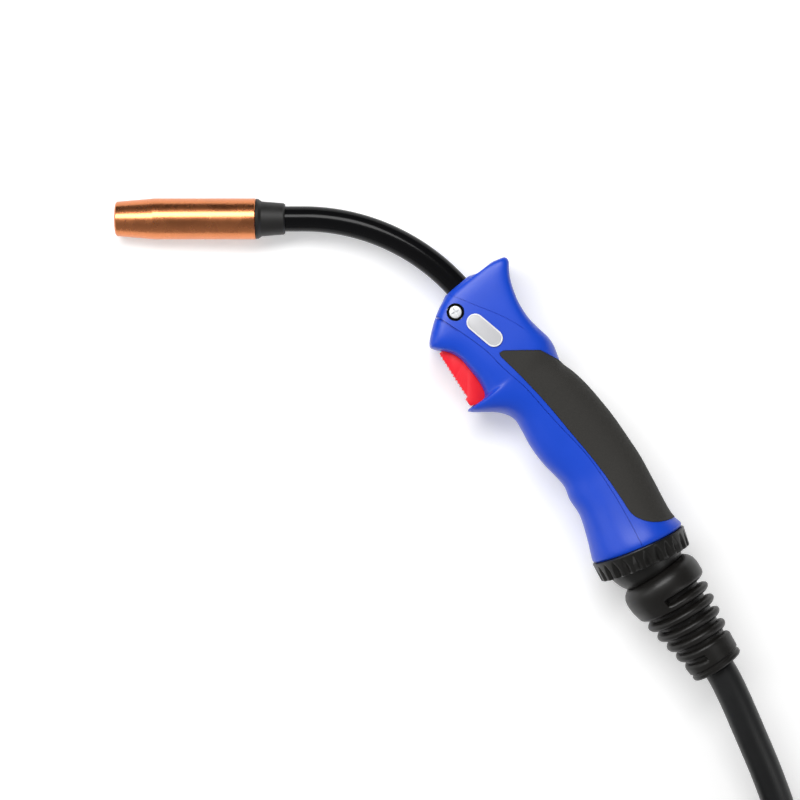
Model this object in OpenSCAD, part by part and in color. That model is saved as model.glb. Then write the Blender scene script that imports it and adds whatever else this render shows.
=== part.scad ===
// Gas-cooled MIG welding torch, lying on its side on a table, with its power cable and plug.
// Lengths in millimetres. +Z is up from the table, -X is the way the nozzle points.

/* [Gas nozzle and contact tip] */
// Length of the gas nozzle
nozzle_l = 84; // [70:1:100]
// Radius of the gas nozzle's body
nozzle_r = 12.3; // [11.5:0.1:13.5]
// Radius of the gas nozzle's mouth, outside
nozzle_tip_r = 10.4; // [9.8:0.1:11]
// Bore radius of the gas nozzle's mouth
nozzle_mouth_r = 8; // [7:0.1:9]
// Length of the conical front of the nozzle
nozzle_cone_l = 23; // [12:1:32]
// Radius of the contact tip
tip_r = 5; // [4:0.1:5.5]
// Length of the contact tip
tip_l = 30; // [25:1:36]
// How far the contact tip sits back from the nozzle's mouth
tip_recess = 5.5; // [5:0.5:9]
// Radius of the hole for the welding wire
wire_r = 0.7; // [0.45:0.05:0.9]

/* [Neck] */
// Radius of the black sleeve on the neck
sleeve_r = 7.6; // [7:0.1:8.6]
// Radius of the copper tube inside the sleeve
core_r = 5; // [4.5:0.1:5.5]
// Centre-line radius of the neck's bend
bend_r = 125; // [110:1:140]
// Angle of the neck's bend
bend_angle = 50; // [45:1:55]
// Straight length between the bend and the insulator
neck_straight = 11; // [8:1:20]
// Length of the insulator that shows behind the nozzle
insulator_l = 17.2; // [14:0.2:22]
// Length of neck held inside the handle
neck_tail = 44; // [40:1:50]

/* [Handle] */
// Thickness of the handle's walls
wall = 2.6; // [2:0.1:3.2]
// Depth of the bed that the soft grip lies in
grip_bed = 1.6; // [1:0.1:1.8]
// How far the soft grip stands proud
grip_proud = 0.4; // [0.2:0.1:0.8]
// Half thickness of the handle at the trigger
head_half_w = 21; // [20:0.5:22]
// Half thickness of the handle at the finger grooves
grip_half_w = 19.5; // [19:0.5:21]

/* [Trigger and switch] */
// Width of the trigger
trigger_w = 18; // [15:0.5:20]
// Travel of the trigger about its pin, in degrees
trigger_travel = 5; // [4:0.5:7]
// Radius of the trigger's pivot pin
pivot_r = 1.5; // [1.2:0.1:1.8]
// Number of teeth on the trigger's front
trigger_teeth = 12; // [8:1:14]

/* [Ball joint and boot] */
// Radius of the locking ring at its front
ring_r = 29.5; // [29:0.1:31]
// Height of the locking ring
ring_h = 11.8; // [10:0.2:13]
// Number of ridges on the locking ring
ring_ridges = 26; // [18:1:32]
// Radius of the ball
ball_r = 24; // [23.5:0.1:24.3]
// How far the cable is swung in the ball joint, from the ring's axis, in degrees
swing_now = 10.6; // [0:0.2:12]
// Number of turns of the boot's helical rib
boot_turns = 5; // [4:1:6]
// Pitch of the boot's helical rib
boot_pitch = 8.1; // [7:0.2:8.4]

/* [Cable and plug] */
// Radius of the power cable
cable_r = 9.5; // [9:0.1:9.6]
// Outer turn radius of the coiled cable, at its centre line
coil_r = 108; // [104:0.5:112]
// Distance between neighbouring turns
coil_pitch = 19.6; // [19.5:0.1:20.5]
// Radius of the plug's hand nut
nut_r = 23; // [21:0.5:25]
// Length of the plug's hand nut
nut_l = 26; // [22:1:30]
// Length of the plug's housing
housing_l = 62; // [50:1:75]
// Radius of the plug's gas spigot
spigot_r = 5; // [4.5:0.1:5.5]

/* [Hidden] */
$fn = 64;
run_gap = 0.08;      // radial clearance of a running or sliding fit
clear = 0.3;         // clearance between pieces that move past each other
FINE = 96;

// ---- the torch's own plane: origin at the centre of the ball, y towards the handle's back
handle_angle = 50;                     // how far the neck's tail slopes down to the handle
neck_foot = [-106.8, 155.2];           // where the bend ends, inside the handle's mouth
ring_angle = 66.6;                     // slope of the locking ring's axis
boot_angle = ring_angle - swing_now;   // slope of the boot's axis
nose_slope = handle_angle - bend_angle;
bend_centre = neck_foot - bend_r * [sin(handle_angle), cos(handle_angle)];
bend_front = bend_centre + bend_r * [sin(nose_slope), cos(nose_slope)];
nozzle_back = neck_straight + insulator_l + 0.2;
nozzle_end = nozzle_back + nozzle_l;
nose_dir = [-cos(nose_slope), sin(nose_slope)];
nozzle_tip = bend_front + nozzle_end * nose_dir;

// ---- how the torch lies: on the rim of the ring and the rim of the nozzle
lie_angle = asin((ring_r - nozzle_tip_r) / -nozzle_tip[0]);
boot_dir = [cos(boot_angle), -sin(boot_angle)];
boot_l = 82.7;
boot_end_r = 16.4;
box_x = [nozzle_tip[0], boot_l * boot_dir[0] + boot_end_r * sin(boot_angle)];
box_y = [boot_l * boot_dir[1] - boot_end_r * cos(boot_angle), bend_front[1] + nozzle_r];
ball_at = [-(box_x[0] + box_x[1]) / 2 * cos(lie_angle), -(box_y[0] + box_y[1]) / 2, ring_r];

// Lays a piece of the torch on the table
module laid() translate(ball_at) rotate([0, -lie_angle, 0]) children();
// Points +X forward along the nozzle, from the front of the bend
module at_nose() laid() translate(bend_front) rotate(180 - nose_slope) children();
// Points +X along the neck's tail, into the handle
module at_tail() laid() translate(neck_foot) rotate(-handle_angle) children();
// Points +X along the ring's axis, away from the handle
module at_ring() laid() rotate(-ring_angle) children();
// Points +X along the boot, away from the ball
module at_boot() laid() rotate(-boot_angle) children();
// A turned piece about X, from [radius, x] points
module turned(points) rotate([0, 90, 0]) rotate_extrude($fn = FINE) polygon(points);
// A tube about X
module tube_x(r, bore, x0, x1) turned([[bore, x0], [r, x0], [r, x1], [bore, x1]]);
// A rod about X
module rod_x(r, x0, x1) translate([x0, 0, 0]) rotate([0, 90, 0]) cylinder(r = r, h = x1 - x0, $fn = FINE);
// Joins rings of equally many points into one closed pipe, the last ring back to the first
module pipe(rings) {
    n = len(rings[0]);
    m = len(rings);
    polyhedron(points = [for (r = rings) each r],
        faces = [for (i = [0:m - 1], k = [0:n - 1]) let(
            a = i * n + k, b = i * n + (k + 1) % n, c = (i + 1) % m * n + k, d = (i + 1) % m * n + (k + 1) % n)
            each [[a, b, c], [b, d, c]]],
        convexity = 10);
}
// A tube that follows the neck, from x0 in front of the bend to x1 behind it
NECK_STEPS = 11;
module neck_tube(r, bore, x0, x1, sides) {
    nose = [-cos(nose_slope), sin(nose_slope)];
    tail = [cos(handle_angle), -sin(handle_angle)];
    stations = concat(
        [[bend_front + x0 * nose, nose_slope]],
        [for (i = [0:NECK_STEPS]) let(a = nose_slope + i * bend_angle / NECK_STEPS)
            [bend_centre + bend_r * [sin(a), cos(a)], a]],
        [[neck_foot + x1 * tail, handle_angle]]);
    function station_ring(st, q) = [for (k = [0:sides - 1]) let(a = -360 * k / sides, d = q * cos(a))
        [st[0][0] + d * sin(st[1]), st[0][1] + d * cos(st[1]), q * sin(a)]];
    m = len(stations);
    laid() pipe(concat([for (st = stations) station_ring(st, r)],
                       [for (i = [m - 1:-1:0]) station_ring(stations[i], bore)]));
}

// ---- front end -------------------------------------------------------------------------
seat_r = 10.5;                          // the insulator's spigot, inside the nozzle
nozzle_bore_r = seat_r + run_gap;
spigot_l = 22;
tip_front = nozzle_end - tip_recess;
tip_back = tip_front - tip_l;
diffuser_front = tip_back - 10;

// The copper gas nozzle
module gas_nozzle() color([0.85, 0.5, 0.32]) at_nose() turned([
    [nozzle_bore_r, nozzle_back], [nozzle_r - 0.5, nozzle_back], [nozzle_r, nozzle_back + 0.5],
    [nozzle_r, nozzle_end - nozzle_cone_l], [nozzle_tip_r, nozzle_end - 0.8],
    [nozzle_tip_r - 0.8, nozzle_end], [nozzle_mouth_r, nozzle_end],
    [nozzle_mouth_r, nozzle_end - 14], [nozzle_bore_r, nozzle_end - nozzle_cone_l - 4]]);

// The contact tip that guides the wire and carries the current to it
module contact_tip() color([0.8, 0.45, 0.25]) at_nose() turned([
    [wire_r, tip_back], [tip_r - 1, tip_back], [tip_r - 1, tip_back + 7], [tip_r, tip_back + 7],
    [tip_r, tip_front - 6], [tip_r - 1.8, tip_front], [wire_r, tip_front]]);

// The brass holder that the tip screws into
module tip_adaptor() color([0.8, 0.65, 0.3]) at_nose() turned([
    [2.6, diffuser_front - 6], [tip_r, diffuser_front - 6], [tip_r, diffuser_front],
    [tip_r + 1.6, diffuser_front], [tip_r + 1.6, tip_back + 6.9], [tip_r - 1 + run_gap, tip_back + 6.9],
    [tip_r - 1 + run_gap, tip_back - 0.1], [2.6, tip_back - 0.1]]);

// The gas diffuser, with its ring of gas ports
diffuser_back = nozzle_back + spigot_l + 0.2;
module gas_diffuser() color([0.82, 0.68, 0.35]) at_nose() difference() {
    turned([[core_r + run_gap, diffuser_back], [8.6, diffuser_back], [8.6, diffuser_front - 0.2],
            [tip_r + run_gap, diffuser_front - 0.2], [tip_r + run_gap, diffuser_front - 6.1],
            [core_r + run_gap, diffuser_front - 6.1]]);
    for (a = [0:60:300])
        translate([(diffuser_back + diffuser_front) / 2 + 3, 0, 0]) rotate([a, 0, 0]) cylinder(r = 1, h = 12, $fn = 16);
}

// The black insulator behind the nozzle
module nozzle_insulator() color([0.13, 0.13, 0.13]) at_nose() turned([
    [core_r + run_gap, neck_straight], [sleeve_r + 1.1, neck_straight], [sleeve_r + 1.8, neck_straight + 0.8],
    [sleeve_r + 2.9, nozzle_back - 3.4], [nozzle_r - 0.5, nozzle_back - 1.6], [nozzle_r - 0.2, nozzle_back - 0.2],
    [seat_r, nozzle_back - 0.2], [seat_r, nozzle_back + spigot_l], [core_r + run_gap, nozzle_back + spigot_l]]);

// ---- neck ------------------------------------------------------------------------------
liner_r = 2.2;
core_bore = liner_r + clear;
core_front = diffuser_front - 6.2;

// The copper tube that carries current, gas and wire
module neck_core() color([0.75, 0.42, 0.25]) neck_tube(core_r, core_bore, core_front, neck_tail - 2, 16);

// The glossy black insulating sleeve
module neck_sleeve() color([0.05, 0.05, 0.05])
    neck_tube(sleeve_r, core_r + 2 * run_gap, neck_straight - 0.05, 8.6, 24);

// The steel liner that the wire runs in
module wire_liner() color([0.6, 0.6, 0.62]) neck_tube(liner_r, 1.2, tip_back - 0.2, neck_tail + 1.8, 12);

block_r = 9.5;
// The brass block that the neck plugs into
module neck_block() color([0.8, 0.66, 0.34]) at_tail() turned([
    [core_r + run_gap, 14.2], [block_r, 14.2], [block_r, neck_tail - 8], [block_r - 1.5, neck_tail - 8],
    [block_r - 1.5, neck_tail + 2], [core_bore, neck_tail + 2], [core_bore, neck_tail - 1.8],
    [core_r + run_gap, neck_tail - 1.8]]);

// The hexagonal nut that clamps the neck in its block
module block_nut() color([0.78, 0.78, 0.8]) at_tail() difference() {
    translate([9.1, 0, 0]) rotate([0, 90, 0]) cylinder(r = block_r + 1, h = 5, $fn = 6);
    rod_x(core_r + run_gap, 8, 15);
}

// ---- cable inside the handle -------------------------------------------------------------
// An arc that leaves the block along the neck's tail and meets the ring's axis
arc_start = neck_foot + (neck_tail + 2) * [cos(handle_angle), -sin(handle_angle)];
arc_end_back = 8;                        // how far before the ball's centre the cable stops
arc_end = -arc_end_back * [cos(ring_angle), -sin(ring_angle)];
arc_chord = arc_end - arc_start;
arc_turn = 2 * (-atan2(arc_chord[1], arc_chord[0]) - handle_angle);
arc_r = norm(arc_chord) / 2 / sin(arc_turn / 2);
arc_centre = arc_start + arc_r * [-sin(handle_angle), -cos(handle_angle)];

// The copper ferrule crimped on the cable behind the block
module crimp_ferrule() color([0.8, 0.5, 0.3]) at_tail()
    tube_x(block_r + 1.6, block_r - 1.5 + run_gap, neck_tail - 7.9, neck_tail + 1.9);

// The power cable inside the handle
module handle_cable() color([0.1, 0.1, 0.1]) laid() translate(arc_centre) rotate(90 - handle_angle)
    rotate(-arc_turn) rotate_extrude(angle = arc_turn, $fn = 200) translate([arc_r, 0]) circle(cable_r, $fn = 48);

// ---- handle shells -----------------------------------------------------------------------
// Rungs from the mouth to the ring: back point, finger-side point, half thickness, squareness
ring_u = [cos(ring_angle), -sin(ring_angle)];
ring_v = [sin(ring_angle), cos(ring_angle)];
ring_front = -4.8;                       // the ring's front face, along its axis
shell_end = (ring_front - 0.4) * ring_u;
shell_end_r = ring_r - 1.5;
mouth_r = sleeve_r + 1.8;
mouth = neck_foot + [-3.7, 4.1];
mouth_v = [sin(handle_angle), cos(handle_angle)];
head_w = head_half_w;
hold_w = grip_half_w;
RUNGS = [
    [mouth + mouth_r * mouth_v, mouth - mouth_r * mouth_v, 14.2, 3.4],
    [[-96.4, 167.9], [-118.2, 152.3], 16.6, 4.0],
    [[-90.2, 173.1], [-119.2, 149.8], 17.6, 4.4],
    [[-86.4, 174.9], [-121.2, 146.0], 18.3, 4.8],
    [[-82.2, 176.2], [-123.2, 141.1], head_w - 2.2, 5.0],
    [[-79.9, 174.0], [-125.6, 132.8], head_w - 1.7, 5.0],
    [[-79.6, 168.6], [-126.9, 124.0], head_w - 1.4, 5.0],
    [[-78.5, 161.7], [-124.0, 121.4], head_w - 1.1, 5.0],
    [[-75.7, 153.4], [-115.0, 119.3], head_w - 0.8, 4.8],
    [[-72.3, 146.6], [-108.8, 115.6], head_w - 0.6, 4.5],
    [[-67.4, 139.7], [-103.3, 109.4], head_w - 0.3, 4.1],
    [[-61.9, 134.2], [-97.7, 101.8], head_w, 3.7],
    [[-56.4, 129.3], [-94.7, 94.8], head_w, 3.3],
    [[-52.8, 124.5], [-96.4, 90.6], head_w, 2.9],
    [[-50.4, 118.8], [-103.8, 84.3], head_w - 0.2, 2.8],
    [[-48.0, 113.4], [-86.0, 83.7], head_w - 0.4, 2.7],
    [[-41.4, 108.3], [-76.4, 80.0], head_w - 0.8, 2.6],
    [[-34.2, 101.7], [-71.4, 72.5], hold_w + 0.3, 2.5],
    [[-26.0, 92.5], [-66.3, 63.2], hold_w, 2.4],
    [[-16.5, 80.6], [-58.8, 53.1], hold_w - 0.3, 2.4],
    [[-5.7, 64.9], [-46.9, 40.5], hold_w, 2.4],
    [[-0.6, 57.0], [-42.7, 31.2], hold_w + 1, 2.4],
    [[7.0, 43.0], [-36.6, 21.6], hold_w + 2.8, 2.3],
    [[17.0, 24.5], [-32.1, 7.2], hold_w + 5.8, 2.2],
    [shell_end - 2.4 * ring_u + (shell_end_r + 0.7) * ring_v,
     shell_end - 2.4 * ring_u - (shell_end_r + 0.7) * ring_v, shell_end_r + 0.3, 2.1],
    [shell_end + shell_end_r * ring_v, shell_end - shell_end_r * ring_v, shell_end_r, 2]
];
SIDES = 24;
function powered(x, n) = sign(x) * pow(abs(x), 2 / n);
// One rung's outline, drawn in by the inset
function rung_ring(g, inset, sides) = let(
    mid = (g[0] + g[1]) / 2, half = norm(g[0] - g[1]) / 2, along = (g[0] - g[1]) / (2 * half))
    [for (k = [0:sides - 1]) let(a = 360 * k / sides,
        r = (half - inset) * powered(cos(a), g[3]), p = mid + r * along)
        [p[0], p[1], (g[2] - inset) * powered(sin(a), g[3]) * (1 - 0.06 * (1 - cos(a)))]];
// A closed skin through rings of equally many points
module skin(rings) {
    n = len(rings[0]);
    m = len(rings);
    polyhedron(
        points = [for (r = rings) each r],
        faces = [
            [for (k = [0:n - 1]) k],
            [for (k = [0:n - 1]) m * n - 1 - k],
            for (i = [0:m - 2], k = [0:n - 1]) let(a = i * n + k, b = i * n + (k + 1) % n)
                each [[a, a + n, b], [b, a + n, b + n]]],
        convexity = 8);
}
module handle_body(inset, first = 0, sides = SIDES)
    skin([for (i = [first:len(RUNGS) - 1]) rung_ring(RUNGS[i], inset, sides)]);

// The parting line between the two shells, from the nose to the ring
SEAM = [[-140, 152], [-120.8, 139.7], [-109.8, 132.4], [-100.5, 125.9], [-92.3, 119.4], [-84, 110.8],
        [-75.7, 103.5], [-69.6, 98], [-58.5, 85.5], [-49.4, 75.5], [-32.6, 57.3], [-15.8, 32], [-0.6, 3],
        [8, -16]];
tall = 80;
module post(p, r) translate([p[0], p[1], -tall / 2]) cylinder(r = r, h = tall, $fn = 8);
// Everything on the handle's back side of the parting line
module behind_seam(grow) for (i = [0:len(SEAM) - 2]) hull() {
    post(SEAM[i], grow);
    post(SEAM[i + 1], grow);
    post(SEAM[i] + [60, 60], grow);
    post(SEAM[i + 1] + [60, 60], grow);
}
// The outline of the soft grip, closed by a point beyond the handle's back
GRIP = [[-46, 116.5], [-54, 118.2], [-62.1, 119.6], [-84, 119.2], [-72.2, 106], [-57.9, 90], [-44.4, 74.8], [-31, 58.8],
        [-20.8, 45.4], [-12.4, 32.8], [-7.4, 25.3], [-2.3, 22], [4.4, 20.4], [12, 20.9], [20, 22.8]];
grip_apex = [12, 108];
module grip_area(grow) for (i = [0:len(GRIP) - 2]) hull() {
    post(GRIP[i], 1 + grow);
    post(GRIP[i + 1], 1 + grow);
    post(grip_apex, 1 + grow);
}

screw_at = [-111.8, 143.2];
screw_z = 17.6;                          // height of the cheek at the screw
screw_r = 2;
bush_r = 5;
badge_a = [-100.1, 137.1];
badge_b = [-89.1, 127.8];
badge_r = 5.2;
badge_z = head_w - 1.5;
badge_t = 1.2;
pivot = [-113.4, 123];

CAVITY_FROM = 5;                         // the rung where the head's hollow starts
module cavity() difference() {
    handle_body(wall, CAVITY_FROM, 16);
    translate([screw_at[0], screw_at[1], -tall / 2]) cylinder(r = bush_r + 1, h = tall, $fn = 24);
}
module rib_plates() for (i = [10, 13, 16, 18, 20]) hull() {
    post(RUNGS[i][0], 0.8);
    post(RUNGS[i][1], 0.8);
}
module ribs() intersection() {
    rib_plates();
    difference() {
        handle_body(wall - 0.6, 2, 16);
        handle_body(wall + 2, 2, 16);
    }
}
module mouth_hole() translate(neck_foot) rotate(-handle_angle) {
    rod_x(sleeve_r + 0.5, -20, 11);
    rod_x(block_r + 1 + clear, 8.8, 14.4);
}
module collar_room() rotate(-ring_angle) turned([[0, -15], [collar_r - 3.7, -15], [collar_r + 0.2, -8],
    [collar_r + 0.2, 0], [0, 0]]);
module pivot_hole() translate([pivot[0], pivot[1], -tall / 2]) cylinder(r = pivot_r + run_gap, h = tall);
module badge_pill(r) hull() {
    translate(badge_a) circle(r, $fn = 24);
    translate(badge_b) circle(r, $fn = 24);
}

// The back shell, with the bed of the soft grip
module upper_shell() color([0.15, 0.3, 0.85]) laid() difference() {
    union() {
        intersection() {
            difference() {
                handle_body(0);
                cavity();
            }
            behind_seam(0.01);
        }
        intersection() {
            ribs();
            behind_seam(0.01);
        }
    }
    difference() {
        intersection() {
            handle_body(-3);
            grip_area(0.2);
        }
        handle_body(grip_bed);
    }
    mouth_hole();
    collar_room();
    translate([screw_at[0], screw_at[1], -tall / 2]) cylinder(r = bush_r + 0.3, h = tall, $fn = 24);
    translate([0, 0, badge_z]) linear_extrude(10) badge_pill(badge_r + 0.1);
}

// The finger-side shell, with the cheeks on both sides of the trigger
module lower_shell() color([0.15, 0.3, 0.85]) laid() union() {
    difference() {
        union() {
            difference() {
                handle_body(0);
                cavity();
            }
            ribs();
        }
        behind_seam(0.15);
        mouth_hole();
        collar_room();
        hull() {
            post([-127, 143.6], 0.8);
            post([-110.5, 132.8], 0.5);
        }
        trigger_room();
        pivot_hole();
        translate([0, 0, badge_z]) linear_extrude(10) badge_pill(badge_r + 0.1);
    }
    for (s = [0, 1]) mirror([0, 0, s]) intersection() {
        handle_body(0.8);
        translate([pivot[0], pivot[1], trigger_w / 2 + 0.5]) difference() {
            cylinder(r = 3, h = head_half_w, $fn = 24);
            translate([0, 0, -1]) cylinder(r = pivot_r + run_gap, h = 17 - trigger_w / 2);
        }
    }
}

// The rubbery grip over the handle's back
module soft_grip() color([0.2, 0.2, 0.18]) laid() intersection() {
    difference() {
        handle_body(-grip_proud);
        handle_body(grip_bed - 0.2);
    }
    grip_area(0);
}

// The screw that clamps the shells on the neck, its nut, and a black bush in each cheek
module clamp_screw() color([0.8, 0.8, 0.82]) laid() translate([screw_at[0], screw_at[1], 0]) difference() {
    union() {
        translate([0, 0, screw_z - 1.2]) cylinder(r = 3.8, h = 1.7);
        translate([0, 0, 5 - screw_z]) cylinder(r = screw_r, h = 2 * screw_z - 6.2);
    }
    for (a = [0, 90]) rotate(a) translate([-2.2, -0.45, screw_z - 0.5]) cube([4.4, 0.9, 2]);
}
module clamp_nut() color([0.75, 0.75, 0.77]) laid() translate([screw_at[0], screw_at[1], 1.2 - screw_z]) difference() {
    cylinder(r = 3.8, h = 4.6, $fn = 6);
    translate([0, 0, -1]) cylinder(r = screw_r + run_gap, h = 7);
}
module screw_bush() color([0.06, 0.06, 0.06]) laid() for (s = [0, 1]) mirror([0, 0, s])
    translate([screw_at[0], screw_at[1], 0]) difference() {
        translate([0, 0, 8]) cylinder(r = bush_r, h = screw_z - 7.4);
        translate([0, 0, 7]) cylinder(r = screw_r + clear, h = 20);
        translate([0, 0, screw_z - 1.3 - s * 4.8]) cylinder(r = 4.1, h = 12);
    }

// The name badge's rim and its bare field
module badge_frame() color([0.95, 0.95, 0.95]) laid() translate([0, 0, badge_z]) difference() {
    linear_extrude(badge_t) badge_pill(badge_r);
    translate([0, 0, badge_t - 0.5]) linear_extrude(2) badge_pill(badge_r - 1);
}
module badge_field() color([0.85, 0.85, 0.86]) laid()
    translate([0, 0, badge_z + badge_t - 0.5]) linear_extrude(0.4) badge_pill(badge_r - 1.05);

// ---- trigger and switch ------------------------------------------------------------------
face_top = [-120.9, 119.2];
face_foot = [-104.2, 93.1];
face_dir = (face_foot - face_top) / norm(face_foot - face_top);
face_out = [face_dir[1], -face_dir[0]];
tooth = norm(face_foot - face_top) * 0.92 / trigger_teeth;
inner_top = [-104, 119];
inner_foot = [-92, 97];
push_dir = [-(inner_foot - inner_top)[1], (inner_foot - inner_top)[0]] / norm(inner_foot - inner_top);
slide_dir = (inner_foot - inner_top) / norm(inner_foot - inner_top);
push_at = inner_top + 20 * slide_dir;
switch_gap = 2.9;
switch_mid = push_at + (switch_gap + 5) * push_dir + 3 * slide_dir;

module trigger_outline() {
    polygon(concat(
        [face_top],
        [for (i = [1:trigger_teeth]) each [
            face_top + (i * tooth - tooth * 0.35) * face_dir + 0.1 * face_out,
            face_top + i * tooth * face_dir + 0.75 * face_out,
            face_top + i * tooth * face_dir]],
        [face_foot, [-105.2, 91.4], [-102.3, 87.6], [-94.5, 90.2], inner_foot, inner_top,
         [pivot[0] + 3.2, pivot[1]]]));
    translate(pivot) circle(3.2, $fn = 32);
}
// The room that the trigger sweeps through, with its clearance
module trigger_room() translate([0, 0, -trigger_w / 2 - 0.5]) linear_extrude(trigger_w + 1) offset(0.5, $fn = 8)
    for (a = [0:trigger_travel / 3:trigger_travel]) translate(pivot) rotate(a) translate(-pivot) {
        translate(pivot) circle(3.2, $fn = 12);
        polygon([face_top, face_foot, [-105.2, 91.4], [-102.3, 87.6], [-94.5, 90.2], inner_foot, inner_top,
                 [pivot[0] + 3.2, pivot[1]]]);
    }
module trigger() color([0.95, 0.1, 0.14]) laid() difference() {
    translate([0, 0, -trigger_w / 2]) linear_extrude(trigger_w) trigger_outline();
    pivot_hole();
}
module trigger_pin() color([0.75, 0.75, 0.77]) laid() translate([pivot[0], pivot[1], -15.5]) cylinder(r = pivot_r, h = 31);

// Stands a piece at the switch, x pointing away from the trigger
module at_switch() laid() translate(switch_mid) rotate(atan2(push_dir[1], push_dir[0])) children();
plunger_r = 1.5;
module microswitch() color([0.15, 0.15, 0.16]) at_switch() difference() {
    union() {
        translate([-5, -10, -3.2]) cube([10, 20, 6.4]);
        for (y = [-6, 0, 6]) translate([4.9, y - 1, -0.3]) cube([3, 2, 0.6]);
    }
    translate([-6, 3, 0]) rod_x(plunger_r + run_gap, 0, 5.2);
    for (y = [-6, 6]) translate([0, y, -5]) cylinder(r = 1.2 + run_gap, h = 10);
}
module switch_button() color([0.9, 0.3, 0.2]) at_switch() translate([-5, 3, 0])
    rod_x(plunger_r, 0.2 - switch_gap, 1);
module switch_pins() color([0.7, 0.7, 0.72]) at_switch()
    for (y = [-6, 6]) translate([0, y, -15.2]) cylinder(r = 1.2, h = 30.4);
// Two leads from the switch, up along the cheek
module switch_leads() color([0.7, 0.1, 0.1]) at_switch()
    for (y = [-6, 0]) translate([7, y, 0.32]) cylinder(r = 0.8, h = 9, $fn = 24);

// ---- ball joint --------------------------------------------------------------------------
thread_r = ring_r - 2.6;
collar_r = shell_end_r - wall - 1;
ball_seat_r = ball_r + run_gap;
lip_at = 5;
// The threaded collar at the shells' rear end, with the front half of the ball's seat
module rear_collar() color([0.1, 0.1, 0.1]) at_ring() difference() {
    union() {
        turned([[0, ring_front], [collar_r, ring_front], [collar_r, ring_front - 3], [collar_r - 4, -14], [0, -14]]);
        rod_x(thread_r, ring_front - 0.1, 1.8);
    }
    sphere(ball_seat_r, $fn = FINE);
    rod_x(ball_seat_r, 0, 4);
    rod_x(18.5, -16, 0);
}
// The ridged ring that holds the ball in its seat
module locking_ring() color([0.09, 0.09, 0.085]) at_ring() difference() {
    turned([[thread_r + run_gap, ring_front], [ring_r - 0.6, ring_front], [ring_r, ring_front + 0.5],
            [ring_r - 0.9, ring_front + ring_h - 0.8], [ring_r - 1.7, ring_front + ring_h],
            [ring_r - 3.4, ring_front + ring_h], [23, lip_at], [23, 2], [thread_r + run_gap, 2]]);
    sphere(ball_seat_r, $fn = FINE);
    for (i = [0:ring_ridges - 1]) rotate([360 * i / ring_ridges, 0, 0])
        translate([ring_front + 2.4, 0, ring_r + 0.8]) rotate([45, 0, 0])
            translate([0, -1.6, -1.6]) cube([ring_h, 3.2, 3.2]);
}
tail_r = 18;
tail_end = 32;
ball_front = -9;
// The ball and the tail that the boot is pushed on
module ball_joint() color([0.07, 0.07, 0.07]) at_boot() difference() {
    union() {
        intersection() {
            sphere(ball_r, $fn = FINE);
            rod_x(ball_r + 1, ball_front, 14.2);
        }
        rod_x(tail_r, 10, tail_end);
    }
    rod_x(cable_r + clear, -ball_r, tail_end + 1);
    turned([[0, ball_front - 1], [17, ball_front - 1], [cable_r + clear, 0.5], [0, 0.5]]);
}
// ---- bend boot ---------------------------------------------------------------------------
groove_start = 33.6;                     // where the groove first passes the side away from the fingers
groove_first = 0.21;                     // turns, counted from the fingers' side
BOOT = [[14.5, 19.4], [15, 20.6], [17, 23], [19.5, 24.3], [23, 24.8], [28, 24.6], [31, 23.9], [34, 23.2],
        [38, 22.6], [46.6, 21.3], [54.6, 19.9], [63, 18.5], [68, 17.6], [72, 17.1], [78, 16.6], [78.8, 15.9],
        [80, 16.4], [81.8, 16.2], [boot_l, 14.8]];
// Distance from the middle of the helical groove, in millimetres; 9 where there is none
function groove_far(s, a) = let(
    wound = (s - groove_start) / boot_pitch + 0.5,
    near = round(wound - a / 360) + a / 360)
    near < groove_first || near > groove_first + boot_turns ? 9 : abs(wound - near) * boot_pitch;
function groove_cut(d) = d < 1.1 ? 1 : d > 3.6 ? 0 : pow(cos((d - 1.1) * 36), 2) * 0.9;
function boot_radius(s, a) = let(
    g = groove_cut(groove_far(s, a)), r = lookup(s, BOOT))
    r - g * (r - lookup(s, [[30, 17.4], [75, 13.6]]));
BOOT_RINGS = concat([14.5, 15, 17, 19.5, 23, 27], [for (s = [30:1.15:76]) s], [78, 78.8, 80, 81.8, boot_l]);
BOOT_SIDES = 24;
boot_bore = [[boot_l, 10], [tail_end + 2, 10], [tail_end + 0.6, tail_r + 0.5], [14.5, tail_r + 0.5]];
// The rubber boot that keeps the cable from kinking
module bend_boot() color([0.14, 0.13, 0.12]) at_boot() {
    rings = concat(
        [for (s = BOOT_RINGS) [for (k = [0:BOOT_SIDES - 1]) let(a = -360 * k / BOOT_SIDES, r = boot_radius(s, a))
            [s, -r * cos(a), r * sin(a)]]],
        [for (b = boot_bore) [for (k = [0:BOOT_SIDES - 1]) let(a = -360 * k / BOOT_SIDES)
            [b[0], -b[1] * cos(a), b[1] * sin(a)]]]);
    pipe(rings);
}
// The cable is parted on a sphere about the joint's centre, so that the boot tilts across it
part_r = norm(BOOT[len(BOOT) - 1]);
part_gap = 0.12;
function on_sphere(r, off) = sqrt(r * r - off * off);
// The cable where it passes through the ball and the boot
module boot_cable() color([0.08, 0.08, 0.08]) at_boot()
    turned(concat([[0, -3], [cable_r, -3]], [for (f = [1:-0.25:0]) [f * cable_r, on_sphere(part_r, f * cable_r)]]));

// ---- free cable --------------------------------------------------------------------------
// Where the cable leaves the boot, on the table's axes
exit_dir = [boot_dir[0] * cos(lie_angle), boot_dir[1], boot_dir[0] * sin(lie_angle)];
boot_exit = ball_at + on_sphere(part_r + part_gap, cable_r) * exit_dir;
COIL_C = [119, -352];                    // the coil's centre
coil_r_out = coil_r + 10;
coil_in_turns = 2;                       // turns spiralled in on the table
coil_out_turns = 1.875;                  // turns spiralled out on top of them
coil_turns = coil_in_turns + 0.5 + coil_out_turns;
coil_dip = 3.4;                          // how far the climb is drawn in, to clear the turn beside it
LOOP_RINGS = 24;
lead = 2 * cable_r;                      // straight length at each end of the coil
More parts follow.
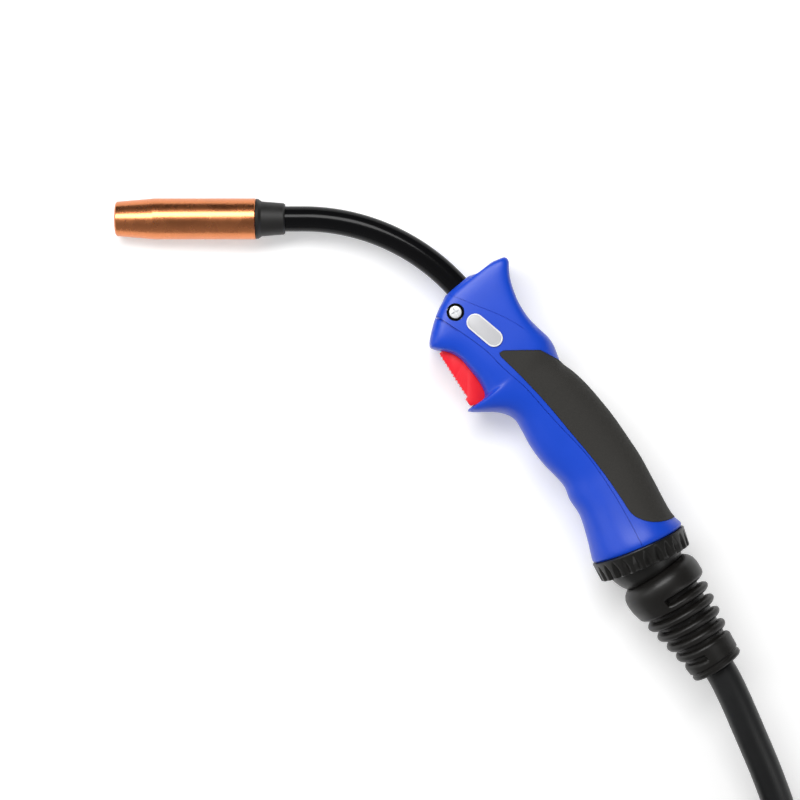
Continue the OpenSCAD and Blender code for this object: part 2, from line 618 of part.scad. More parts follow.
// Centre line of the coil after t turns, clockwise from its right side
function coil_point(t) = let(
    f = min(1, max(0, (t - coil_in_turns) * 2)),
    r = coil_r_out - coil_pitch * min(t, coil_in_turns) + coil_pitch * max(0, t - coil_in_turns - 0.5)
        - coil_dip * sin(180 * f))
    [COIL_C[0] + r * cos(-360 * t), COIL_C[1] + r * sin(-360 * t), cable_r + coil_pitch * f];
coil_last = coil_point(coil_turns);
tail_dir = [sin(-360 * coil_turns), -cos(-360 * coil_turns), 0];
COIL_PATH = concat([coil_point(0) + [0, lead, 0]],
    [for (i = [0:round(coil_turns * LOOP_RINGS)]) coil_point(i / LOOP_RINGS)],
    [coil_last + lead * tail_dir]);
// The run from the boot down to the table and along it to the coil
RUN_PATH = [boot_exit, [178.5, -144.5, 32.6], [185, -158, 32.4], [193, -176, 31.2], [202.5, -197, 28],
            [211.5, -218.5, 23], [219.5, -240, 17.2], [226.5, -261.5, 12.4], [232, -284, 9.9],
            [235.6, -307, 9.5], COIL_PATH[0]];
nut_rest = nut_r + 0.2;
plug_at = concat([for (i = [0, 1]) coil_last[i] + 77 * tail_dir[i]], [nut_rest]);
TAIL_PATH = [coil_last + lead * tail_dir, coil_last + 38 * tail_dir - [0, 0, 1.4],
             coil_last + 57 * tail_dir - [0, 0, 4.4], plug_at];

function unit(v) = v / norm(v);
// Directions along a path, with the ends' own directions given
function headings(path, first, last) = [for (i = [0:len(path) - 1])
    i == 0 ? first : i == len(path) - 1 ? last : unit(unit(path[i + 1] - path[i]) + unit(path[i] - path[i - 1]))];
// Rings of points round a path that stays nearly level
function path_rings(path, r, sides, first, last) = let(dirs = headings(path, first, last))
    [for (i = [0:len(path) - 1]) let(
        side = unit(cross([0, 0, 1], dirs[i])), up = cross(dirs[i], side))
        [for (k = [0:sides - 1]) let(a = 360 * k / sides) path[i] + r * (cos(a) * up + sin(a) * side)]];
module swept(path, r, sides, first, last) skin(path_rings(path, r, sides, first, last));
// The free run, its first end dished to clear the tilting boot
module cable_run() color([0.08, 0.08, 0.08]) {
    rings = path_rings(RUN_PATH, cable_r, 12, exit_dir, [0, -1, 0]);
    dish = [for (f = [0.05, 0.35, 0.7]) let(c = ball_at + on_sphere(part_r + part_gap, f * cable_r) * exit_dir)
        [for (p = rings[0]) c + f * (p - boot_exit)]];
    skin(concat(dish, rings));
}
module cable_coil() color([0.08, 0.08, 0.08]) swept(COIL_PATH, cable_r, 6, [0, -1, 0], tail_dir);
module cable_tail() color([0.08, 0.08, 0.08]) swept(TAIL_PATH, cable_r, 12, tail_dir, tail_dir);
function path_length(p) = len(p) < 2 ? 0 : let(steps = [for (i = [1:len(p) - 1]) norm(p[i] - p[i - 1])])
    steps * [for (s = steps) 1];
coil_gap = min([for (i = [0:len(COIL_PATH) - 1], j = [i + 8:1:len(COIL_PATH) - 1])
    norm(COIL_PATH[i] - COIL_PATH[j])]) - 2 * cable_r;
echo(cable_length = path_length(RUN_PATH) + path_length(COIL_PATH) + path_length(TAIL_PATH), coil_gap = coil_gap);

// ---- plug --------------------------------------------------------------------------------
plug_boot_l = 42;
nut_back = plug_boot_l + housing_l - 8;
core_face = nut_back + nut_l - 9;
spigot_reach = 20;
pin_r = 2;
pin_out = 11.5;
// Lays a piece at the plug, x pointing out of its spigot
module at_plug() translate(plug_at) rotate(atan2(tail_dir[1], tail_dir[0])) children();

module plug_boot() color([0.12, 0.12, 0.12]) at_plug() turned(concat(
    [[0, 0], [11, 0], [11.4, 2]],
    [for (i = [0:3]) each [[12.2 + i, 5 + 7 * i], [12.9 + i, 7 + 7 * i], [12.6 + i, 9.4 + 7 * i], [11.8 + i, 10 + 7 * i]]],
    [[16.6, 36], [17, plug_boot_l], [0, plug_boot_l]]));
module plug_housing() color([0.1, 0.1, 0.1]) at_plug() difference() {
    turned([[0, plug_boot_l + 0.1], [17.5, plug_boot_l + 0.1], [19, plug_boot_l + 4], [19, nut_back - 14],
            [15.5, nut_back - 4], [15.5, nut_back + 8], [0, nut_back + 8]]);
    rod_x(12.5 + run_gap, plug_boot_l + 14, nut_back + 9);
    for (s = [-1, 1]) translate([plug_boot_l + 20, s * 16, 12]) cylinder(r = 2.4, h = 20, $fn = 24);
}
module housing_screws() color([0.8, 0.8, 0.82]) at_plug()
    for (s = [-1, 1]) translate([plug_boot_l + 20, s * 16, 12.05]) cylinder(r = 2.2, h = 2, $fn = 24);
module plug_core() color([0.82, 0.68, 0.35]) at_plug() difference() {
    turned([[1.5, plug_boot_l + 16], [12.5, plug_boot_l + 16], [12.5, nut_back + 8.1], [17, nut_back + 8.1],
            [17, nut_back + 11], [14.5, nut_back + 11], [14.5, core_face], [spigot_r, core_face],
            [spigot_r, core_face + spigot_reach - 5], [spigot_r - 1.7, core_face + spigot_reach - 5],
            [spigot_r - 1.7, core_face + spigot_reach - 3], [spigot_r, core_face + spigot_reach - 3],
            [spigot_r - 0.7, core_face + spigot_reach], [1.5, core_face + spigot_reach]]);
    for (s = [-1, 1]) rotate([s * 30, 0, 0]) translate([0, 0, pin_out]) rod_x(pin_r + run_gap, core_face - 8, core_face + 1);
}
module plug_pin(s) at_plug() rotate([s * 30, 0, 0]) translate([0, 0, pin_out]) rod_x(pin_r, core_face - 4, core_face + 6);
module plug_pin_a() color([0.85, 0.75, 0.45]) plug_pin(1);
module plug_pin_b() color([0.85, 0.75, 0.45]) plug_pin(-1);
module plug_oring() color([0.05, 0.05, 0.05]) at_plug() rotate([0, 90, 0]) translate([0, 0, core_face + spigot_reach - 4])
    rotate_extrude($fn = FINE) translate([spigot_r - 0.87, 0]) circle(0.8, $fn = 20);
// The hand nut that draws the plug into its socket
module plug_nut() color([0.1, 0.1, 0.1]) at_plug() {
    difference() {
        rod_x(nut_r - 1.2, nut_back, nut_back + nut_l);
        rod_x(15.5 + clear, nut_back - 1, nut_back + 7.9);
        rod_x(19, nut_back + 7.8, nut_back + nut_l + 1);
    }
    for (i = [0:15]) rotate([22.5 * i, 0, 0]) translate([nut_back + 3, 0, nut_r - 1.7])
        rotate([0, 90, 0]) cylinder(r = 1.7, h = nut_l - 6, $fn = 8);
}

gas_nozzle();
contact_tip();
tip_adaptor();
gas_diffuser();
nozzle_insulator();
neck_core();
neck_sleeve();
wire_liner();
neck_block();
block_nut();
crimp_ferrule();
handle_cable();
upper_shell();
lower_shell();
soft_grip();
clamp_screw();
clamp_nut();
screw_bush();
badge_frame();
badge_field();
trigger();
trigger_pin();
microswitch();
switch_button();
switch_pins();
switch_leads();
rear_collar();
locking_ring();
ball_joint();
bend_boot();
boot_cable();
cable_run();
cable_coil();
cable_tail();
plug_boot();
plug_housing();
housing_screws();
plug_core();
plug_nut();
plug_pin_a();
plug_pin_b();
plug_oring();
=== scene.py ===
import math

import bmesh
import bpy
from mathutils import Matrix, Vector


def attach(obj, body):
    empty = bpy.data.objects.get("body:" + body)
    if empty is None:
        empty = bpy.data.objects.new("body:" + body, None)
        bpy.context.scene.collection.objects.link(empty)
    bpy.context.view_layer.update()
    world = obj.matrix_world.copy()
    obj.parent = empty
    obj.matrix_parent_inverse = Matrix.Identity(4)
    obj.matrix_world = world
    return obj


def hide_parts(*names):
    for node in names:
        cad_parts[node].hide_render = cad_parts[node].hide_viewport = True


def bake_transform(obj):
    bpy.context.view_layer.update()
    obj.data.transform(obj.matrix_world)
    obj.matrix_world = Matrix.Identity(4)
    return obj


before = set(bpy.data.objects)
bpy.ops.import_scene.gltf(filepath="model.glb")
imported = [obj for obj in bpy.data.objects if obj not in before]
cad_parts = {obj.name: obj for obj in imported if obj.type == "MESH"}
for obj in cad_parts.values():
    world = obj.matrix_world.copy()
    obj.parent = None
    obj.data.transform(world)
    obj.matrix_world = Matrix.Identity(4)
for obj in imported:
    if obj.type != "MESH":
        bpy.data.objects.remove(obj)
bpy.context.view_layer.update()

# ---- camera ------------------------------------------------------------------------------
# Square on to the torch, which lies on its side with its nozzle's mouth and its ring on the
# table, so far off that the handle fills the frame and the cable runs out at the lower right.
ball_place = Vector((0.127322, -0.0672097, 0.0295))
ring_rim_height = 29.5
nozzle_rim_height = 10.4
rim_distance = 314.956
lie_tilt = math.asin((ring_rim_height - nozzle_rim_height) / rim_distance)
lie = Matrix.Translation(ball_place) @ Matrix.Rotation(-lie_tilt, 4, "Y")
camera_over = (-0.1446, 0.0912)
camera_distance = 1.35
frame_half_width = 0.240
camera_data = bpy.data.cameras.new("camera")
camera_data.angle = 2 * math.atan(frame_half_width / camera_distance)
camera = bpy.data.objects.new("camera", camera_data)
camera.matrix_world = lie @ Matrix.Translation((*camera_over, camera_distance))
bpy.context.collection.objects.link(camera)
bpy.context.scene.camera = camera

# ---- table and soft light ------------------------------------------------------------------
# A plain white sheet under the torch and a pale surround, lit by three big soft panels
# and a broad fill, as on a product table.
bpy.context.scene.view_settings.view_transform = "Standard"
table_half = 6.0
table_colour = (0.86, 0.86, 0.86, 1)
table_glow = 0.33
sky_heights, sky_levels = (0.1, 0.95), (0.3, 0.16)
side_reach, side_levels = (-0.8, 0.9), (1.45, 0.25)
table_mesh = bpy.data.meshes.new("table")
table_corners = [(-table_half, -table_half, 0), (table_half, -table_half, 0),
                 (table_half, table_half, 0), (-table_half, table_half, 0)]
table_mesh.from_pydata(table_corners, [], [(0, 1, 2, 3)])
table = bpy.data.objects.new("table", table_mesh)
bpy.context.collection.objects.link(table)


def seen_directly(nodes, links):
    """One where a surface is seen, mirrored or looked through, nought where it only sends light."""
    path = nodes.new("ShaderNodeLightPath")
    seen = nodes.new("ShaderNodeMath")
    seen.operation = "MAXIMUM"
    links.new(path.outputs["Is Camera Ray"], seen.inputs[0])
    links.new(path.outputs["Is Glossy Ray"], seen.inputs[1])
    through = nodes.new("ShaderNodeMath")
    through.operation = "MAXIMUM"
    links.new(seen.outputs[0], through.inputs[0])
    links.new(path.outputs["Is Transmission Ray"], through.inputs[1])
    return through.outputs[0]


def mapped(nodes, links, source, reach, levels):
    """A value carried evenly from one range to another."""
    carried = nodes.new("ShaderNodeMapRange")
    carried.inputs["From Min"].default_value, carried.inputs["From Max"].default_value = reach
    carried.inputs["To Min"].default_value, carried.inputs["To Max"].default_value = levels
    links.new(source, carried.inputs["Value"])
    return carried.outputs["Result"]


table_white = bpy.data.materials.new("table_white")
table_white.use_nodes = True
nodes, links = table_white.node_tree.nodes, table_white.node_tree.links
nodes.clear()
paper = nodes.new("ShaderNodeBsdfDiffuse")
paper.inputs["Color"].default_value = table_colour
paper_glow = nodes.new("ShaderNodeEmission")
glow_level = nodes.new("ShaderNodeMath")
glow_level.operation = "MULTIPLY"
glow_level.inputs[1].default_value = table_glow
links.new(seen_directly(nodes, links), glow_level.inputs[0])
links.new(glow_level.outputs[0], paper_glow.inputs["Strength"])
paper_sum = nodes.new("ShaderNodeAddShader")
links.new(paper.outputs[0], paper_sum.inputs[0])
links.new(paper_glow.outputs[0], paper_sum.inputs[1])
paper_out = nodes.new("ShaderNodeOutputMaterial")
links.new(paper_sum.outputs[0], paper_out.inputs["Surface"])
table_mesh.materials.append(table_white)

room = bpy.data.worlds.new("room")
bpy.context.scene.world = room
room.use_nodes = True
nodes, links = room.node_tree.nodes, room.node_tree.links
nodes.clear()
fill_light = nodes.new("ShaderNodeBackground")
fill_light.inputs["Color"].default_value = (1, 1, 1, 1)
toward = nodes.new("ShaderNodeTexCoord")
height = nodes.new("ShaderNodeSeparateXYZ")
links.new(toward.outputs["Generated"], height.inputs[0])
overhead = mapped(nodes, links, height.outputs["Z"], sky_heights, sky_levels)
dim_side = mapped(nodes, links, height.outputs["Y"], side_reach, side_levels)
fill_level = nodes.new("ShaderNodeMath")
fill_level.operation = "MULTIPLY"
links.new(overhead, fill_level.inputs[0])
links.new(dim_side, fill_level.inputs[1])
links.new(fill_level.outputs[0], fill_light.inputs["Strength"])
room_out = nodes.new("ShaderNodeOutputWorld")
links.new(fill_light.outputs[0], room_out.inputs["Surface"])

panels = {
    "panel_main": ((-0.35, 0.62, 1.28), (1.3, 0.46), 19.0),
    "panel_left": ((-1.2, -0.2, 0.8), (0.6, 1.0), 3.6),
    "panel_right": ((1.2, -0.6, 1.1), (0.6, 1.2), 3.6),
}
for name, (place, size, watts) in panels.items():
    lamp = bpy.data.lights.new(name, "AREA")
    lamp.shape = "RECTANGLE"
    lamp.size, lamp.size_y = size
    lamp.energy = watts
    lamp_object = bpy.data.objects.new(name, lamp)
    lamp_object.location = place
    lamp_object.rotation_euler = (-Vector(place)).to_track_quat("-Z", "Y").to_euler()
    bpy.context.collection.objects.link(lamp_object)

# ---- power cable ---------------------------------------------------------------------------
# A black rubber-jacketed cable, 19 mm thick, that carries current, gas, wire and trigger leads.
# It comes down from the boot to the table and is put away in a flat coil of two layers,
# wound in and then out again over itself, with its plug beside it.
cable_radius = 0.0095
boot_heading = math.radians(-56)
boot_axis = Vector((math.cos(boot_heading) * math.cos(lie_tilt), math.sin(boot_heading),
                    math.cos(boot_heading) * math.sin(lie_tilt)))
boot_length = 0.0827
boot_exit = ball_place + boot_length * boot_axis
coil_middle = Vector((0.119, -0.352))
coil_outer = 0.118
turn_pitch = 0.0196
turns_in = 2.0
turns_climb = 0.5
turns_out = 1.875
climb_draw = 0.0034
points_per_turn = 48
run_steps, tail_steps = 5, 4
cable_sides = 32


def coil_place(turn):
    """A point on the coil's centre line, so many turns clockwise from its right side."""
    climb = min(1.0, max(0.0, (turn - turns_in) / turns_climb))
    radius = (coil_outer - turn_pitch * min(turn, turns_in)
              + turn_pitch * max(0.0, turn - turns_in - turns_climb)
              - climb_draw * math.sin(math.pi * climb))
    angle = -2 * math.pi * turn
    return Vector((coil_middle.x + radius * math.cos(angle), coil_middle.y + radius * math.sin(angle),
                   cable_radius + turn_pitch * climb))


def curve_through(points, steps):
    """A smooth line through points, with so many steps between each two."""
    ends = [2 * points[0] - points[1], *points, 2 * points[-1] - points[-2]]
    line = []
    for i in range(1, len(ends) - 2):
        a, b, c, d = ends[i - 1:i + 3]
        for step in range(steps):
            t = step / steps
            line.append(0.5 * (2 * b + (c - a) * t + (2 * a - 5 * b + 4 * c - d) * t ** 2
                               + (3 * b - a - 3 * c + d) * t ** 3))
    return line + [points[-1]]


coil_turns = turns_in + turns_climb + turns_out
coil_end = coil_place(coil_turns)
end_angle = -2 * math.pi * coil_turns
tail_axis = Vector((math.sin(end_angle), -math.cos(end_angle), 0))
run_points = [boot_exit] + [Vector(p) / 1000 for p in (
    (178.5, -144.5, 32.6), (185, -158, 32.4), (193, -176, 31.2), (202.5, -197, 28), (211.5, -218.5, 23),
    (219.5, -240, 17.2), (226.5, -261.5, 12.4), (232, -284, 9.9), (235.6, -307, 9.5), (237, -333, 9.5))]
coil_points = [coil_place(i / points_per_turn) for i in range(1, round(coil_turns * points_per_turn))]
plug_reach = 0.077
plug_height = 0.0232
plug_place = coil_end + plug_reach * tail_axis
plug_place.z = plug_height
tail_dips = ((2 * cable_radius, 0), (0.038, 0.0014), (0.057, 0.0044))
tail_between = [coil_end + out * tail_axis - Vector((0, 0, dip)) for out, dip in tail_dips]
tail_points = [coil_end, *tail_between, plug_place]
cable_line = (curve_through(run_points, run_steps) + [coil_place(0)] + coil_points
              + curve_through(tail_points, tail_steps))


def mesh_piece(name, verts, faces, smooth=True):
    """A mesh object of those corners and faces, shaded smooth unless told otherwise."""
    mesh = bpy.data.meshes.new(name)
    mesh.from_pydata([tuple(v) for v in verts], [], faces)
    shape = bmesh.new()
    shape.from_mesh(mesh)
    bmesh.ops.recalc_face_normals(shape, faces=shape.faces)
    shape.to_mesh(mesh)
    shape.free()
    if smooth:
        mesh.shade_smooth()
    else:
        mesh.shade_flat()
    piece = bpy.data.objects.new(name, mesh)
    bpy.context.collection.objects.link(piece)
    return piece


def skin_rings(name, rings, closed=False, smooth=True):
    """Joins rings of equally many points into a closed skin; closed joins the last to the first."""
    count, many = len(rings), len(rings[0])
    faces = [(i * many + k, i * many + (k + 1) % many, (i + 1) % count * many + (k + 1) % many,
              (i + 1) % count * many + k) for i in range(count if closed else count - 1) for k in range(many)]
    if not closed:
        faces += [tuple(range(many)), tuple(range((count - 1) * many, count * many))]
    return mesh_piece(name, [v for ring in rings for v in ring], faces, smooth)


def rings_along(line, radius, sides):
    """Round rings along a line, turned as little as can be from one to the next."""
    rings, side = [], None
    for i, place in enumerate(line):
        ahead = (line[min(i + 1, len(line) - 1)] - line[max(i - 1, 0)]).normalized()
        if side is None:
            side = ahead.orthogonal().normalized()
        else:
            side = ahead.cross(side.cross(ahead)).normalized()
        up = side.cross(ahead)
        rings.append([place + radius * (math.cos(2 * math.pi * k / sides) * side
                                        + math.sin(2 * math.pi * k / sides) * up) for k in range(sides)])
    return rings


def finish_of(name, colour, roughness, metallic=0.0, grain=0.0, grain_size=0.001, tint=0.0,
              shine=0.4, patches=0.08, patch_size=0.02, bump_depth=0.0001):
    """A finish with drifting colour, uneven gloss and a fine surface grain.

    tint is how far the colour drifts, patches how far the roughness drifts, grain how strong the bump is.
    """
    material = bpy.data.materials.new(name)
    material.use_nodes = True
    nodes, links = material.node_tree.nodes, material.node_tree.links
    shader = nodes["Principled BSDF"]
    shader.inputs["Metallic"].default_value = metallic
    shader.inputs["Specular IOR Level"].default_value = shine
    place = nodes.new("ShaderNodeTexCoord")
    drift = nodes.new("ShaderNodeTexNoise")
    drift.inputs["Scale"].default_value = 1 / patch_size
    drift.inputs["Detail"].default_value = 4
    links.new(place.outputs["Object"], drift.inputs["Vector"])
    shade = nodes.new("ShaderNodeMix")
    shade.data_type = "RGBA"
    shade.inputs["A"].default_value = (*[c * (1 - tint) for c in colour], 1)
    shade.inputs["B"].default_value = (*[min(1, c * (1 + tint)) for c in colour], 1)
    links.new(drift.outputs["Fac"], shade.inputs["Factor"])
    links.new(shade.outputs["Result"], shader.inputs["Base Color"])
    gloss_levels = (max(0.02, roughness - patches), min(1, roughness + patches))
    links.new(mapped(nodes, links, drift.outputs["Fac"], (0, 1), gloss_levels), shader.inputs["Roughness"])
    if grain:
        texture = nodes.new("ShaderNodeTexNoise")
        texture.inputs["Scale"].default_value = 1 / grain_size
        texture.inputs["Detail"].default_value = 3
        links.new(place.outputs["Object"], texture.inputs["Vector"])
        relief = nodes.new("ShaderNodeBump")
        relief.inputs["Strength"].default_value = grain
        relief.inputs["Distance"].default_value = bump_depth
        links.new(texture.outputs["Fac"], relief.inputs["Height"])
        links.new(relief.outputs["Normal"], shader.inputs["Normal"])
    return material


def dress(material, *names):
    """Gives CAD pieces a material in place of the one that they came with."""
    for name in names:
        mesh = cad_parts[name].data
        mesh.materials.clear()
        mesh.materials.append(material)


cable_jacket = finish_of("cable_jacket", (0.008, 0.0084, 0.009), 0.42, grain=0.35, grain_size=0.0006,
                         tint=0.25, patches=0.1)
power_cable = skin_rings("power_cable", rings_along(cable_line, cable_radius, cable_sides))
power_cable.data.materials.append(cable_jacket)
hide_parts("cable_run", "cable_coil", "cable_tail")
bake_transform(power_cable)
dress(cable_jacket, "boot_cable", "handle_cable")

# ---- handle shells -------------------------------------------------------------------------
# Two moulded halves in blue glass-filled nylon, a back one and a finger-side one, with a thin
# parting line between them. They clamp the neck at the front and the ball joint at the rear.
# A section's outline is given by its back point, its finger-side point, its half thickness and
# how square it is, in millimetres on the torch's own plane, from the mouth to the ring.
mm = 0.001
handle_slope = math.radians(50)
ring_slope = math.radians(66.6)
ring_axis = Vector((math.cos(ring_slope), -math.sin(ring_slope)))
ring_across = Vector((math.sin(ring_slope), math.cos(ring_slope)))
neck_foot = Vector((-106.8, 155.2))
neck_axis = Vector((math.cos(handle_slope), -math.sin(handle_slope)))
neck_across = Vector((math.sin(handle_slope), math.cos(handle_slope)))
mouth_middle = neck_foot + Vector((-3.7, 4.1))
mouth_radius = 9.4
shell_end = -5.2 * ring_axis
shell_end_radius = 28.0
shell_swell = shell_end - 2.4 * ring_axis
shell_swell_reach = 28.7 * ring_across
handle_sections = [
    (mouth_middle + mouth_radius * neck_across, mouth_middle - mouth_radius * neck_across, 14.2, 3.6),
    ((-96.4, 167.9), (-118.2, 152.3), 16.6, 4.6),
    ((-90.2, 173.1), (-119.2, 149.8), 17.6, 5.6),
    ((-86.4, 174.9), (-121.2, 146.0), 18.3, 6.5),
    ((-82.2, 176.2), (-123.2, 141.1), 18.8, 7.0),
    ((-79.9, 174.0), (-125.6, 132.8), 19.3, 7.0),
    ((-79.6, 168.6), (-126.9, 124.0), 19.6, 7.0),
    ((-78.5, 161.7), (-124.0, 121.4), 19.9, 7.0),
    ((-75.7, 153.4), (-115.0, 119.3), 20.2, 6.5),
    ((-72.3, 146.6), (-108.8, 115.6), 20.4, 5.8),
    ((-67.4, 139.7), (-103.3, 109.4), 20.7, 5.0),
    ((-61.9, 134.2), (-97.7, 101.8), 21.0, 4.2),
    ((-56.4, 129.3), (-94.7, 94.8), 21.0, 3.6),
    ((-52.8, 124.5), (-96.4, 90.6), 21.0, 2.9),
    ((-50.4, 118.8), (-103.8, 84.3), 20.8, 2.8),
    ((-48.0, 113.4), (-86.0, 83.7), 20.6, 2.7),
    ((-41.4, 108.3), (-76.4, 80.0), 20.2, 2.6),
    ((-34.2, 101.7), (-71.4, 72.5), 19.8, 2.5),
    ((-26.0, 92.5), (-66.3, 63.2), 19.5, 2.4),
    ((-16.5, 80.6), (-58.8, 53.1), 19.2, 2.4),
    ((-5.7, 64.9), (-46.9, 40.5), 19.5, 2.4),
    ((-0.6, 57.0), (-42.7, 31.2), 20.5, 2.4),
    ((7.0, 43.0), (-36.6, 21.6), 22.3, 2.3),
    ((17.0, 24.5), (-32.1, 7.2), 25.3, 2.2),
    (shell_swell + shell_swell_reach, shell_swell - shell_swell_reach, 28.3, 2.1),
    (shell_end + shell_end_radius * ring_across, shell_end - shell_end_radius * ring_across,
     shell_end_radius, 2.0)]
shell_wall = 2.6
grip_bed = 1.6
sections_between = 5
section_points = 96
finger_side_slimming = 0.06
cheek_passes = 8
cheek_from, cheek_rate = 0.5, 3
hollow_from = 5


def handle_solid(name, inset, first=0):
    """The handle's form drawn in by the inset, in millimetres, from one of its sections on."""
    marks = [Vector((*back, *finger, half, square)) for back, finger, half, square in handle_sections[first:]]
    rings = []
    for mark in curve_through(marks, sections_between):
        back, finger = Vector(mark[0:2]), Vector(mark[2:4])
        middle, reach = (back + finger) / 2, (back - finger).length / 2
        along = (back - finger) / (2 * reach)
        ring = []
        for k in range(section_points):
            turn = 2 * math.pi * k / section_points
            across = math.copysign(abs(math.cos(turn)) ** (2 / mark[5]), math.cos(turn))
            deep = math.copysign(abs(math.sin(turn)) ** (2 / mark[5]), math.sin(turn))
            spot = middle + (reach - inset) * across * along
            slimmed = 1 - finger_side_slimming * (1 - math.cos(turn))
            ring.append(Vector((spot.x, spot.y, (mark[4] - inset) * deep * slimmed)) * mm)
        rings.append(ring)
    for _ in range(cheek_passes):
        before = [[spot.copy() for spot in ring] for ring in rings]
        for i in range(1, len(rings) - 1):
            for k in range(section_points):
                cheek = abs(math.sin(2 * math.pi * k / section_points))
                share = min(1.0, max(0.0, (cheek - cheek_from) * cheek_rate))
                mean = (before[i - 1][k] + before[i + 1][k]) / 2
                rings[i][k] += share * 0.5 * (mean - before[i][k])
    return skin_rings(name, rings)


def prism(name, outline, low=-40.0, high=40.0):
    """A closed prism over an outline on the torch's plane, in millimetres."""
    return skin_rings(name, [[Vector((x, y, z)) * mm for x, y in outline] for z in (low, high)], smooth=False)


def round_outline(middle, radius, points=32):
    """The corners of a circle."""
    return [(middle[0] + radius * math.cos(2 * math.pi * k / points),
             middle[1] + radius * math.sin(2 * math.pi * k / points)) for k in range(points)]


def pill_outline(a, b, radius, points=16):
    """The corners of a slot with round ends about two places."""
    heading = math.atan2(b[1] - a[1], b[0] - a[0])
    outline = []
    for end, start in ((b, heading - math.pi / 2), (a, heading + math.pi / 2)):
        outline += [(end[0] + radius * math.cos(start + math.pi * k / points),
                     end[1] + radius * math.sin(start + math.pi * k / points)) for k in range(points + 1)]
    return outline


def carve(piece, tool, operation="DIFFERENCE"):
    """Cuts a piece with a tool, or keeps what both share, and removes the tool."""
    cut = piece.modifiers.new(tool.name, "BOOLEAN")
    cut.operation = operation
    cut.solver = "MANIFOLD"
    cut.object = tool
    bpy.context.view_layer.update()
    carved = bpy.data.meshes.new_from_object(piece.evaluated_get(bpy.context.evaluated_depsgraph_get()))
    carved.name = piece.name
    piece.modifiers.clear()
    old, piece.data = piece.data, carved
    bpy.data.meshes.remove(old)
    bpy.data.objects.remove(tool)
    return piece


def laid_down(piece, sharp=32):
    """Turns a piece from the torch's plane to how the torch lies, with its sharp edges kept."""
    piece.data.transform(lie)
    piece.data.shade_smooth()
    piece.data.set_sharp_from_angle(angle=math.radians(sharp))
    return piece


parting_line = curve_through([Vector(p) for p in (
    (-140, 152), (-120.8, 139.7), (-109.8, 132.4), (-100.5, 125.9), (-92.3, 119.4), (-84, 110.8),
    (-75.7, 103.5), (-69.6, 98), (-58.5, 85.5), (-49.4, 75.5), (-32.6, 57.3), (-15.8, 32), (-0.6, 3),
    (8, -16))], 4)
parting_clear = 0.02
parting_overlap = 1.0
parting_gap = 0.4
parting_depth = 1.1
crease_half = 0.22
crease_depth = 0.6
slit_depth = 2.1
past_handle = (120, 240)


def shifted(line, by):
    """A line moved sideways, to the right of the way that it runs."""
    moved = []
    for i, spot in enumerate(line):
        ahead = (line[min(i + 1, len(line) - 1)] - line[max(i - 1, 0)]).normalized()
        moved.append(spot + by * Vector((ahead.y, -ahead.x)))
    return moved


def behind_parting(name, shift):
    """Everything on the handle's back side of the parting line, with that line moved sideways."""
    line = shifted(parting_line, shift)
    return prism(name, [*line, (past_handle[0], line[-1].y), past_handle, (line[0].x, past_handle[1])])


grip_top = [Vector(p) for p in ((-45, 111.4), (-61.8, 119.7), (-72, 119.6), (-83.6, 119.3), (-84.8, 118.7))]
grip_edge = grip_top + curve_through([Vector(p) for p in (
    (-84.0, 117.4), (-72.2, 106), (-57.5, 90.4), (-44.4, 74.8), (-31, 58.8), (-20.8, 45.4), (-12.4, 32.8),
    (-7.4, 25.3), (-2.3, 22), (4.4, 20.4), (12, 20.9), (20, 22.8))], 4)
grip_beyond = [(60, 30), (60, 140), (-30, 140)]
grip_proud = 0.45
grip_seat = grip_bed - 0.1
grip_growth, bed_growth = 1.0, 1.25


def grip_region(name, grow):
    """The outline of the soft grip as a prism, let out by so much."""
    return prism(name, [*shifted(grip_edge, grow), *grip_beyond])


screw_place = (-111.8, 143.2)
boss_radius = 6.0
bush_hole_radius = 5.3
pivot_place = (-113.4, 123.0)
pivot_room_radius = 3.7
badge_ends = ((-100.1, 137.1), (-89.1, 127.8))
badge_floor = 19.5
badge_radius = 5.2
badge_clear = 0.1
trigger_half = 9.0
trigger_room_half = trigger_half + 0.5
trigger_clear = 0.6
trigger_travel = math.radians(5)
trigger_body = [(-120.9, 119.2), (-104.2, 93.1), (-105.2, 91.4), (-102.3, 87.6), (-94.5, 90.2), (-92, 97),
                (-104, 119), (-110.2, 123)]
slit = ((-122.9, 140.3), (-110.8, 132.4))
slit_half = 0.65
crease = curve_through([Vector(p) for p in ((-115.4, 154), (-103.3, 148.6), (-89.5, 143.1), (-79.2, 138.3),
                                            (-71.6, 133.5))], 5)
mouth_bore = ((-20, 8.1), (11, 8.1))
block_bore = ((8.8, 10.8), (14.4, 10.8))
collar_bore = ((-15, 20.7), (-8, 24.6), (1, 24.6))
bore_points = 64


def bored(name, foot, along, across, stations):
    """A round cutter about a line on the torch's plane, from (distance, radius) stations in millimetres."""
    foot, along, across = [Vector((*flat, 0)) for flat in (foot, along, across)]
    up = Vector((0, 0, 1))
    turns = [2 * math.pi * k / bore_points for k in range(bore_points)]
    rings = [[(foot + at * along + radius * (math.cos(turn) * across + math.sin(turn) * up)) * mm
              for turn in turns] for at, radius in stations]
    return skin_rings(name, rings, smooth=False)


def let_out(outline, by):
    """An outline with each corner moved outwards."""
    middle = sum((Vector(p) for p in outline), Vector((0, 0))) / len(outline)
    return [Vector(p) + by * (Vector(p) - middle).normalized() for p in outline]


def turned_outline(outline, angle):
    """An outline turned about the trigger's pin."""
    spin = Matrix.Rotation(angle, 2)
    return [Vector(pivot_place) + spin @ (Vector(p) - Vector(pivot_place)) for p in outline]


groove_rise = 3.0


def groove_of(region, depth):
    """What has to be cut from the handle's surface to sink a region of it to that depth."""
    groove = handle_solid("groove", -groove_rise)
    carve(groove, handle_solid("groove_floor", depth))
    return carve(groove, region, "INTERSECT")


